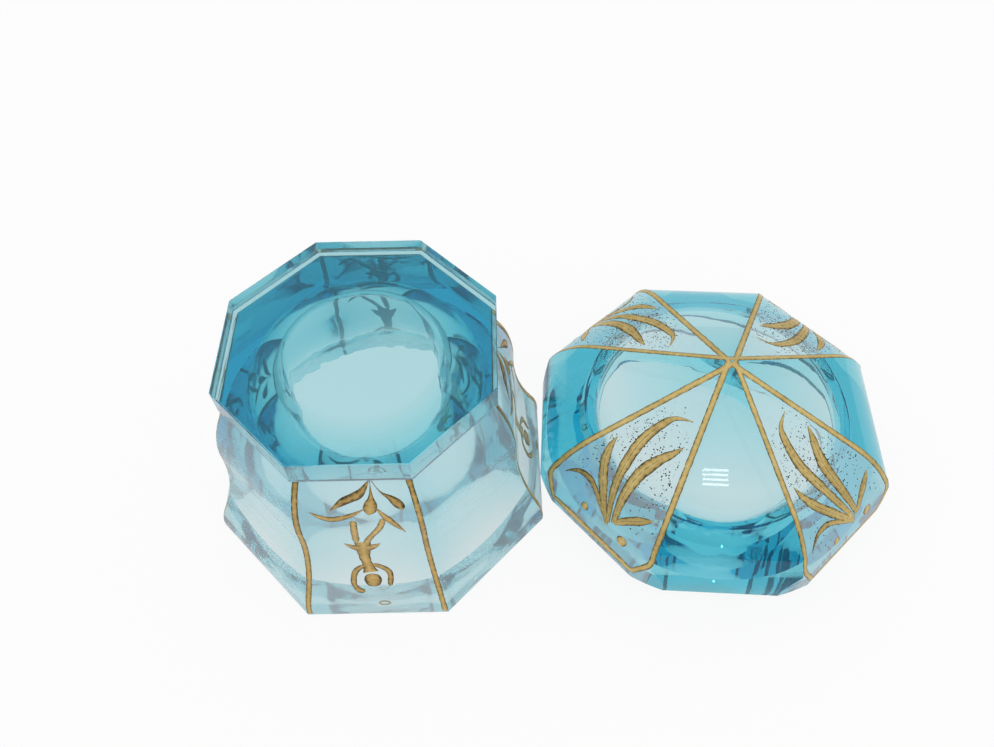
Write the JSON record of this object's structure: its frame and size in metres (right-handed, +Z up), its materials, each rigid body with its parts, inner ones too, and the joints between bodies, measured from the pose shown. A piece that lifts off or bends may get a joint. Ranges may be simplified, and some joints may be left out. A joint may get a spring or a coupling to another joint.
{
  "type": "bonbonniere",
  "caption": "Eight-sided aqua glass sweet box turned over on its mouth, with its faceted, gilded lid standing on its flange beside it.",
  "frame": {"origin": "on the axis of the box, at the middle of its mouth, which is the level of the table", "axes": "+Z up out of the box's foot, which is on top because the box stands turned over; +X from the box to the lid beside it; +Y away from the front panel"},
  "size_m": [0.2059, 0.1062, 0.0665],
  "materials": {
    "aqua_glass": "ground and polished clear aqua glass, deeper blue where it is thick",
    "gilding": "fired, slightly raised and rubbed gold"
  },
  "bodies": {
    "box": {"box_glass": "aqua_glass", "box_frame_gilding": "gilding", "box_motif_gilding": "gilding"},
    "lid": {"lid_glass": "aqua_glass", "lid_frame_gilding": "gilding", "lid_leaf_gilding": "gilding"}
  },
  "joints": [
    {"name": "lid_lift", "type": "slide", "parent": "box", "child": "lid", "axis": [0, 0, 1], "range_m": [0, 0.09]}
  ]
}
